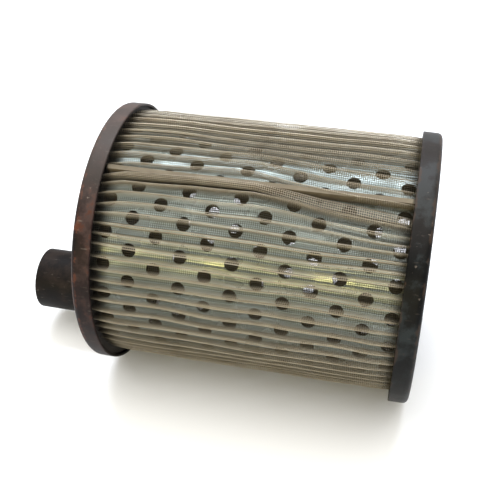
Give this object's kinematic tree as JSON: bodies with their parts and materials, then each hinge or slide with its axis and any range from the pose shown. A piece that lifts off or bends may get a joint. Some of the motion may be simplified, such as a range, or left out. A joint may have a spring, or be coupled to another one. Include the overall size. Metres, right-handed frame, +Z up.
{
  "type": "pleated wire mesh fuel filter",
  "caption": "Cylindrical pleated wire mesh filter element with pressed steel end caps, a perforated core and an off-centre outlet tube.",
  "frame": {"origin": "on the surface the element lies on, under the middle of its overall length, outlet tube included", "axes": "+X along the cylinder from the outlet end to the closed end, +Z up, +Y away from the viewer"},
  "size_m": [0.1326, 0.086, 0.086],
  "materials": {
    "outlet_cap_steel": "worn dark paint with brown rust",
    "closed_cap_paint": "dull black paint, worn at the edges",
    "spigot_steel": "dark brown oxide, lightly scuffed",
    "braze_metal": "dull, stained brown",
    "core_zinc": "galvanised, dull grey-green",
    "mesh_wire": "fine woven wire, stained olive",
    "clip_steel": "plain folded strip",
    "potting_resin": "dark cast resin"
  },
  "bodies": {
    "root": {"outlet_end_cap": "outlet_cap_steel", "closed_end_cap": "closed_cap_paint", "outlet_spigot": "spigot_steel", "spigot_braze": "braze_metal", "perforated_core": "core_zinc", "filter_mesh": "mesh_wire", "seam_clip": "clip_steel", "potting_outlet": "potting_resin", "potting_closed": "potting_resin"}
  },
  "joints": []
}
